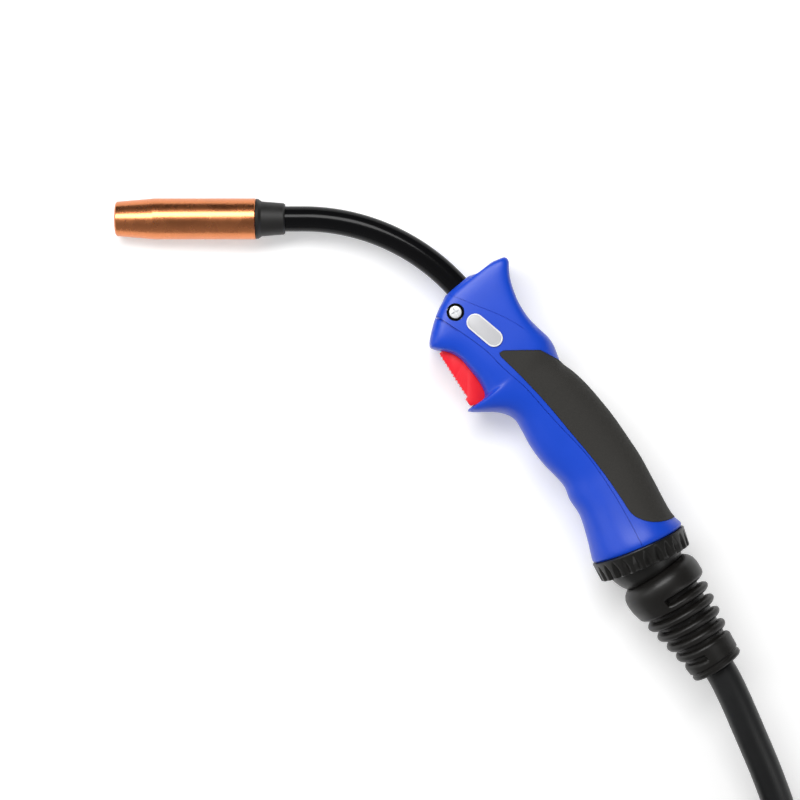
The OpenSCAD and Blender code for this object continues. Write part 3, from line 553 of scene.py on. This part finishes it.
def strip_prism(name, line, to_left, to_right):
    """A prism along a line, reaching so far to each side of it."""
    return prism(name, shifted(line, -to_left) + shifted(line, to_right)[::-1])


hollow = handle_solid("hollow", shell_wall, first=hollow_from)
carve(hollow, prism("boss", round_outline(screw_place, boss_radius)))
back_shell = handle_solid("back_shell", 0.0)
carve(back_shell, hollow)
finger_shell = bpy.data.objects.new("finger_shell", back_shell.data.copy())
bpy.context.collection.objects.link(finger_shell)
carve(back_shell, behind_parting("parting_back", 0.0), "INTERSECT")
carve(finger_shell, behind_parting("parting_finger", parting_clear))
parting_groove = strip_prism("parting_groove", parting_line, parting_overlap, parting_gap)
carve(finger_shell, groove_of(parting_groove, parting_depth))
carve(back_shell, groove_of(grip_region("grip_bed", bed_growth), grip_bed))
carve(back_shell, groove_of(strip_prism("crease_groove", crease, crease_half, crease_half), crease_depth))
carve(finger_shell, groove_of(prism("slit", pill_outline(*slit, slit_half)), slit_depth))
for angle in (0.0, trigger_travel):
    room_outline = turned_outline(let_out(trigger_body, trigger_clear), angle)
    carve(finger_shell, prism("trigger_room", room_outline, -trigger_room_half, trigger_room_half))
pivot_outline = round_outline(pivot_place, pivot_room_radius)
carve(finger_shell, prism("pivot_room", pivot_outline, -trigger_room_half, trigger_room_half))
badge_outline = pill_outline(*badge_ends, badge_radius + badge_clear)
for shell in (back_shell, finger_shell):
    carve(shell, bored("mouth_bore", neck_foot, neck_axis, neck_across, mouth_bore))
    carve(shell, bored("block_bore", neck_foot, neck_axis, neck_across, block_bore))
    carve(shell, bored("collar_room", (0, 0), ring_axis, ring_across, collar_bore))
    carve(shell, prism("bush_bore", round_outline(screw_place, bush_hole_radius)))
    carve(shell, prism("badge_pocket", badge_outline, badge_floor, 40))
shell_blue = finish_of("shell_blue", (0.006, 0.066, 0.62), 0.36, grain=0.12, grain_size=0.0004, tint=0.06,
                       patches=0.05, bump_depth=0.00005)
for shell, node in ((back_shell, "upper_shell"), (finger_shell, "lower_shell")):
    laid_down(shell)
    shell.data.materials.clear()
    shell.data.materials.append(shell_blue)
    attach(shell, "handle")
    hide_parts(node)

# ---- soft grip -----------------------------------------------------------------------------
# A panel of dark rubber moulded over the back shell and down both its sides, with a fine
# grain, standing just proud of the blue plastic.
soft_grip = handle_solid("grip_panel", -grip_proud)
carve(soft_grip, handle_solid("grip_back", grip_seat))
carve(soft_grip, grip_region("grip_edge", grip_growth), "INTERSECT")
laid_down(soft_grip)
grip_rubber = finish_of("grip_rubber", (0.028, 0.0265, 0.0235), 0.75, grain=0.9, grain_size=0.0007, tint=0.3,
                        patches=0.08, patch_size=0.001, bump_depth=0.0002)
soft_grip.data.materials.clear()
soft_grip.data.materials.append(grip_rubber)
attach(soft_grip, "handle")
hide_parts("soft_grip")

# ---- gas nozzle, contact tip and holder ----------------------------------------------------
# The nozzle is a turned and polished copper sleeve that pushes onto its insulator. Inside it
# sit the drilled copper tip, its brass holder and the gas diffuser with its ring of ports.
copper = finish_of("polished_copper", (0.67, 0.235, 0.095), 0.27, metallic=1.0, grain=0.05, grain_size=0.0008,
                   tint=0.14, patches=0.06, patch_size=0.009)
tip_copper = finish_of("tip_copper", (0.72, 0.36, 0.20), 0.32, metallic=1.0, grain=0.1, grain_size=0.0004,
                       tint=0.15)
turned_brass = finish_of("turned_brass", (0.74, 0.56, 0.24), 0.28, metallic=1.0, grain=0.1, grain_size=0.0004,
                         tint=0.1)
dress(copper, "gas_nozzle")
dress(tip_copper, "contact_tip", "neck_core", "crimp_ferrule")
dress(turned_brass, "tip_adaptor", "gas_diffuser", "neck_block")

# ---- nozzle insulator ----------------------------------------------------------------------
# A dull black moulded ring between the hot nozzle and the neck, stepped where the neck's
# sleeve runs into it.
moulded_black = finish_of("moulded_black", (0.010, 0.0095, 0.009), 0.5, grain=0.3, grain_size=0.0005, tint=0.2)
dress(moulded_black, "nozzle_insulator", "microswitch")

# ---- neck ----------------------------------------------------------------------------------
# A copper tube bent through fifty degrees in a glossy black sleeve, with the wire's steel
# liner inside and a brass block and nut that hold it in the handle.
neck_radius = 7.6
bend_radius = 125.0
bend_middle = neck_foot - bend_radius * neck_across
neck_front_straight = 10.95
neck_back_straight = 8.6
bend_points = 60
neck_sides = 64
neck_line = [Vector((bend_middle.x - neck_front_straight, bend_middle.y + bend_radius, 0))]
for i in range(bend_points + 1):
    turn = handle_slope * i / bend_points
    neck_line.append(Vector((bend_middle.x + bend_radius * math.sin(turn),
                             bend_middle.y + bend_radius * math.cos(turn), 0)))
neck_line.append(Vector((neck_foot.x + neck_back_straight * math.cos(handle_slope),
                         neck_foot.y - neck_back_straight * math.sin(handle_slope), 0)))
neck_rings = rings_along([spot * mm for spot in neck_line], neck_radius * mm, neck_sides)
neck_sleeve = laid_down(skin_rings("neck_sleeve_bend", neck_rings))
gloss_black = finish_of("gloss_black", (0.004, 0.004, 0.0045), 0.16, grain=0.04, grain_size=0.004, tint=0.1,
                        shine=0.14, patches=0.04)
neck_sleeve.data.materials.append(gloss_black)
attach(neck_sleeve, "handle")
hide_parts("neck_sleeve")
bright_steel = finish_of("bright_steel", (0.84, 0.85, 0.87), 0.4, metallic=0.8, grain=0.08, grain_size=0.0003,
                         tint=0.08)
dress(bright_steel, "wire_liner", "block_nut", "clamp_nut", "trigger_pin", "switch_pins", "housing_screws")

# ---- clamp screw and bush ------------------------------------------------------------------
# A bright cross-head screw that clamps the shells on the neck, sunk in a black bush.
screw_head_radius = 3.8
cheek_height = 17.6
cross_turn = 0.5
cross_reach = 2.1
cross_half = 0.5
cross_depth = 1.0


def lathed(name, profile, points=64):
    """A turned piece about Z, from (radius, height) points in millimetres."""
    turns = [2 * math.pi * k / points for k in range(points)]
    return skin_rings(name, [[Vector((radius * math.cos(turn), radius * math.sin(turn), height)) * mm
                              for turn in turns] for radius, height in profile])


screw_profile = [(2.0, 5 - cheek_height), (2.0, cheek_height - 1.2), (screw_head_radius, cheek_height - 1.2),
                 (screw_head_radius, cheek_height + 0.1), (3.5, cheek_height + 0.42), (2.6, cheek_height + 0.5),
                 (0.3, cheek_height + 0.52)]
screw = lathed("clamp_screw_head", screw_profile)
for quarter in (0.0, math.pi / 2):
    arm = Vector((math.cos(quarter + cross_turn), math.sin(quarter + cross_turn)))
    cross_slot = pill_outline(arm * cross_reach, arm * -cross_reach, cross_half)
    carve(screw, prism("cross_slot", cross_slot, cheek_height - cross_depth, cheek_height + 3))
screw.data.transform(Matrix.Translation((screw_place[0] * mm, screw_place[1] * mm, 0)))
laid_down(screw)
screw.data.materials.clear()
screw.data.materials.append(bright_steel)
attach(screw, "handle")
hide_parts("clamp_screw")
dress(gloss_black, "screw_bush")

# ---- badge ---------------------------------------------------------------------------------
# A bare white plastic badge with a slim raised rim round a light grey field, pressed into a
# pocket in the cheek.
badge_top = 20.7
rim_width = 0.9
rim_rounding = 0.15
well_depth = 0.4
field_clear = 0.03
field_drop = 0.2
field_rounding = 0.06


def softened(piece, width, segments=2, angle=35):
    """Rounds a piece's sharp edges."""
    edge = piece.modifiers.new("edge", "BEVEL")
    edge.width = width * mm
    edge.segments = segments
    edge.angle_limit = math.radians(angle)
    edge.limit_method = "ANGLE"
    rounded = bpy.data.meshes.new_from_object(piece.evaluated_get(bpy.context.evaluated_depsgraph_get()))
    piece.modifiers.clear()
    piece.data = rounded
    return piece


badge_rim = prism("badge_rim", pill_outline(*badge_ends, badge_radius), badge_floor, badge_top)
well_outline = pill_outline(*badge_ends, badge_radius - rim_width)
carve(badge_rim, prism("badge_well", well_outline, badge_top - well_depth, 30))
laid_down(softened(badge_rim, rim_rounding))
field_outline = pill_outline(*badge_ends, badge_radius - rim_width - field_clear)
badge_face = prism("badge_face", field_outline, badge_top - 0.42, badge_top - field_drop)
laid_down(softened(badge_face, field_rounding))
for piece, node, name, colour in ((badge_rim, "badge_frame", "badge_white", (0.86, 0.86, 0.86)),
                                  (badge_face, "badge_field", "badge_grey", (0.60, 0.60, 0.62))):
    piece.data.materials.clear()
    piece.data.materials.append(finish_of(name, colour, 0.3, grain=0.05, grain_size=0.0006, tint=0.03))
    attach(piece, "handle")
    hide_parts(node)

# ---- trigger -------------------------------------------------------------------------------
# A bright red moulded lever that turns on a steel pin behind the nose, with fine teeth down
# its front for the fingertip, over the button of a small switch.
tooth_count = 12
teeth_share = 0.92
knuckle_radius = 3.2
pin_hole_radius = 1.58
trigger_rounding = 0.25
face_top, face_foot = Vector(trigger_body[0]), Vector(trigger_body[1])
face_along = (face_foot - face_top).normalized()
face_out = Vector((face_along.y, -face_along.x))
tooth_pitch = (face_foot - face_top).length * teeth_share / tooth_count
tooth_height = 0.75
trigger_outline = [face_top]
for i in range(1, tooth_count + 1):
    trigger_outline += [face_top + (i - 0.35) * tooth_pitch * face_along + 0.1 * face_out,
                        face_top + (i - 0.05) * tooth_pitch * face_along + tooth_height * face_out,
                        face_top + i * tooth_pitch * face_along]
trigger_outline += [Vector(p) for p in trigger_body[1:7]]
knuckle = [(pivot_place[0] + knuckle_radius * math.cos(math.radians(degrees)),
            pivot_place[1] + knuckle_radius * math.sin(math.radians(degrees)))
           for degrees in range(0, 181, 15)]
trigger_lever = prism("trigger_lever", trigger_outline + knuckle, -trigger_half, trigger_half)
carve(trigger_lever, prism("pin_hole", round_outline(pivot_place, pin_hole_radius)))
laid_down(softened(trigger_lever, trigger_rounding))
trigger_red = finish_of("trigger_red", (0.95, 0.014, 0.030), 0.38, grain=0.1, grain_size=0.0005, tint=0.08)
trigger_lever.data.materials.clear()
trigger_lever.data.materials.append(trigger_red)
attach(trigger_lever, "trigger")
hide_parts("trigger")
dress(trigger_red, "switch_button")
dress(finish_of("lead_red", (0.45, 0.02, 0.02), 0.45, grain=0.2, tint=0.1), "switch_leads")

# ---- locking ring --------------------------------------------------------------------------
# A black moulded ring with finger ridges that widen towards the cable. It screws on the
# collar at the shells' end and holds the ball in its seat.
ring_radius = 29.5
ring_height = 11.8
ring_front = -4.8
ridges = 26
samples_per_ridge = 20
groove_depth = 1.5
ring_profile = [(26.98, 2.0), (26.98, ring_front), (28.9, ring_front), (29.35, ring_front + 0.15),
                (ring_radius, ring_front + 0.5)]
ring_steps = 14
ring_profile += [(ring_radius - 0.9 * t / ring_steps, ring_front + 0.5 + (ring_height - 1.3) * t / ring_steps)
                 for t in range(1, ring_steps + 1)]
ring_profile += [(28.3, ring_front + 11.5), (27.8, ring_front + ring_height), (26.1, ring_front + ring_height),
                 (23.2, 5.0), (24.2, 2.0)]


def ridge_cut(turn, along):
    """How far a groove between two ridges reaches in, at a turn from 0 to 1 and so far along the ring."""
    reach = min(1.0, max(0.0, (along - ring_front - 1.7) / 5.0))
    half_width = 0.10 + 0.24 * reach
    phase = abs((turn * ridges) % 1.0 - 0.5)
    return groove_depth * reach ** 0.6 * max(0.0, 1 - phase / half_width)


def about_x(name, rings, slope):
    """A closed loop of rings about an axis through the ball's centre, sloping down on the torch's plane."""
    piece = skin_rings(name, rings, closed=True)
    piece.data.transform(Matrix.Rotation(-slope, 4, "Z"))
    return laid_down(piece)


ring_points = ridges * samples_per_ridge
ring_rings = []
for radius, along in ring_profile:
    ring = []
    for k in range(ring_points):
        turn = k / ring_points
        angle = 2 * math.pi * turn
        out = radius - (ridge_cut(turn, along) if radius > 27.5 and along > ring_front + 1 else 0)
        ring.append(Vector((along, out * math.cos(angle), out * math.sin(angle))) * mm)
    ring_rings.append(ring)
ring_piece = about_x("ridged_ring", ring_rings, ring_slope)
ring_plastic = finish_of("ring_plastic", (0.006, 0.0057, 0.005), 0.36, grain=0.2, grain_size=0.0006, tint=0.25)
ring_piece.data.materials.append(ring_plastic)
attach(ring_piece, "ring")
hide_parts("locking_ring")
dress(ring_plastic, "rear_collar")

# ---- ball joint ----------------------------------------------------------------------------
# A black ball with a short tail, clamped on the cable's end, which lets the cable
# swing as the torch is moved.
dress(ring_plastic, "ball_joint")

# ---- bend boot -----------------------------------------------------------------------------
# A matt rubber boot pushed over the ball's tail: a smooth bulb, a round rib that winds down
# it five times so that it bends but doesn't kink, and a plain collar at the cable.
boot_slope = math.radians(56)
boot_profile = [(14.5, 18.6), (14.8, 20.0), (15.6, 21.2), (17, 22.7), (19.5, 24.2), (23, 24.8), (28, 24.6),
                (31, 23.9), (34, 23.2), (38, 22.6), (46.6, 21.3), (54.6, 19.9), (63, 18.5), (68, 17.6),
                (72, 17.1), (77.6, 16.6), (78.4, 15.7), (79.2, 15.7), (80, 16.4), (81.6, 16.3), (82.4, 15.6),
                (82.7, 14.6)]
rib_start, rib_pitch, rib_turns = 33.6, 8.1, 5
rib_first_turn = 0.21
rib_floor = ((30, 18.2), (75, 13.9))
groove_half = 0.13
boot_points = 96


def along_profile(profile, spot):
    """The radius of a profile at a distance along it."""
    for (a, ra), (b, rb) in zip(profile, profile[1:]):
        if spot <= b:
            return ra + (rb - ra) * max(0.0, spot - a) / (b - a)
    return profile[-1][1]


def boot_radius(along, turn):
    """The boot's radius, with the groove that winds down between the turns of its rib."""
    outer = along_profile(boot_profile, along)
    wound = (along - rib_start) / rib_pitch + 0.5
    phase = turn / (2 * math.pi)
    nearest = round(wound - phase) + phase
    if nearest < rib_first_turn or nearest > rib_first_turn + rib_turns:
        return outer
    off = abs(wound - nearest)
    if off < groove_half:
        sunk = 1.0
    else:
        crown = min(1.0, (off - groove_half) / (0.5 - groove_half))
        sunk = 1 - math.sqrt(max(0.0, 1 - (1 - crown) ** 2))
    return outer - sunk * (outer - along_profile(rib_floor, along))


def boot_ring(along, radius_at):
    """A ring about the boot's axis, so far along it, from the radius at each turn."""
    turns = [2 * math.pi * k / boot_points for k in range(boot_points)]
    return [Vector((along, -radius_at(turn) * math.cos(turn), radius_at(turn) * math.sin(turn))) * mm
            for turn in turns]


boot_stations = ([14.5, 14.8, 15.3, 16, 17, 18, 19.5, 21, 23, 25, 27, 28.5]
                 + [29 + 0.25 * i for i in range(190)]
                 + [76.6, 77.2, 77.6, 78, 78.4, 78.8, 79.2, 79.6, 80, 80.8, 81.6, 82, 82.4, 82.7])
boot_rings = [boot_ring(along, lambda turn: boot_radius(along, turn)) for along in boot_stations]
boot_bore = [(82.7, 10.2), (34, 10.2), (32.6, 18.5), (14.5, 18.5)]
boot_rings += [boot_ring(along, lambda turn: radius) for along, radius in boot_bore]
bend_boot = about_x("winding_boot", boot_rings, boot_slope)
boot_rubber = finish_of("boot_rubber", (0.0072, 0.0065, 0.0056), 0.4, grain=0.12, grain_size=0.0012, tint=0.3,
                        patches=0.1)
bend_boot.data.materials.append(boot_rubber)
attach(bend_boot, "support")
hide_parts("bend_boot")

# ---- plug ----------------------------------------------------------------------------------
# The central plug at the feeder's end: a rubber boot, a black housing with two screws, a
# brass core with its gas spigot and spring pins, and the hand nut that draws it home.
dress(boot_rubber, "plug_boot", "plug_oring")
dress(moulded_black, "plug_housing", "plug_nut")
dress(turned_brass, "plug_core", "plug_pin_a", "plug_pin_b")
